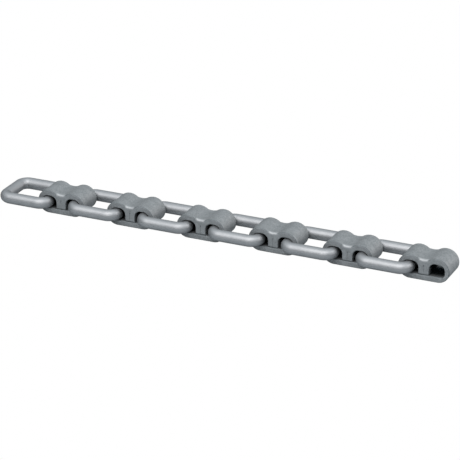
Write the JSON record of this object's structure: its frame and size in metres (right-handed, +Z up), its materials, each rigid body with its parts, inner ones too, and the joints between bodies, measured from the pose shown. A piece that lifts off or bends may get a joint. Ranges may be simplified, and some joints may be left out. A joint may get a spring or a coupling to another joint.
{
  "type": "floor conveyor chain",
  "caption": "Straight length of floor conveyor chain: closed round-bar links hinged in flat-based double-eye blocks, for dragging slats along a floor.",
  "frame": {"origin": "under the middle of the straight chain, on the surface that its blocks lie on", "axes": "+X along the chain towards the block with the empty eye, +Y along the hinges, +Z up"},
  "size_m": [0.4906, 0.056, 0.025],
  "materials": {
    "link_bar": "smooth drawn steel bar, satin",
    "block_strip": "rolled steel strip, shot blasted, matt"
  },
  "bodies": {
    "link_1": {"link_1": "link_bar"},
    "block_1": {"block_1": "block_strip"},
    "link_2": {"link_2": "link_bar"},
    "block_2": {"block_2": "block_strip"},
    "link_3": {"link_3": "link_bar"},
    "block_3": {"block_3": "block_strip"},
    "link_4": {"link_4": "link_bar"},
    "block_4": {"block_4": "block_strip"},
    "link_5": {"link_5": "link_bar"},
    "block_5": {"block_5": "block_strip"},
    "link_6": {"link_6": "link_bar"},
    "block_6": {"block_6": "block_strip"}
  },
  "joints": [
    {"name": "link_6_in_block_6", "type": "hinge", "parent": "block_6", "child": "link_6", "pos_m": [0.20355, 0, 0.01215], "axis": [0, 1, 0], "range_deg": [-140, 140]},
    {"name": "link_6_in_block_5", "type": "hinge", "parent": "link_6", "child": "block_5", "pos_m": [0.15525, 0, 0.01215], "axis": [0, -1, 0], "range_deg": [-140, 140]},
    {"name": "link_5_in_block_5", "type": "hinge", "parent": "block_5", "child": "link_5", "pos_m": [0.12465, 0, 0.01215], "axis": [0, 1, 0], "range_deg": [-140, 140]},
    {"name": "link_5_in_block_4", "type": "hinge", "parent": "link_5", "child": "block_4", "pos_m": [0.07635, 0, 0.01215], "axis": [0, -1, 0], "range_deg": [-140, 140]},
    {"name": "link_4_in_block_4", "type": "hinge", "parent": "block_4", "child": "link_4", "pos_m": [0.04575, 0, 0.01215], "axis": [0, 1, 0], "range_deg": [-140, 140]},
    {"name": "link_4_in_block_3", "type": "hinge", "parent": "link_4", "child": "block_3", "pos_m": [-0.00255, 0, 0.01215], "axis": [0, -1, 0], "range_deg": [-140, 140]},
    {"name": "link_3_in_block_3", "type": "hinge", "parent": "block_3", "child": "link_3", "pos_m": [-0.03315, 0, 0.01215], "axis": [0, 1, 0], "range_deg": [-140, 140]},
    {"name": "link_3_in_block_2", "type": "hinge", "parent": "link_3", "child": "block_2", "pos_m": [-0.08145, 0, 0.01215], "axis": [0, -1, 0], "range_deg": [-140, 140]},
    {"name": "link_2_in_block_2", "type": "hinge", "parent": "block_2", "child": "link_2", "pos_m": [-0.11205, 0, 0.01215], "axis": [0, 1, 0], "range_deg": [-140, 140]},
    {"name": "link_2_in_block_1", "type": "hinge", "parent": "link_2", "child": "block_1", "pos_m": [-0.16035, 0, 0.01215], "axis": [0, -1, 0], "range_deg": [-140, 140]},
    {"name": "link_1_in_block_1", "type": "hinge", "parent": "block_1", "child": "link_1", "pos_m": [-0.19095, 0, 0.01215], "axis": [0, 1, 0], "range_deg": [-140, 140]}
  ]
}
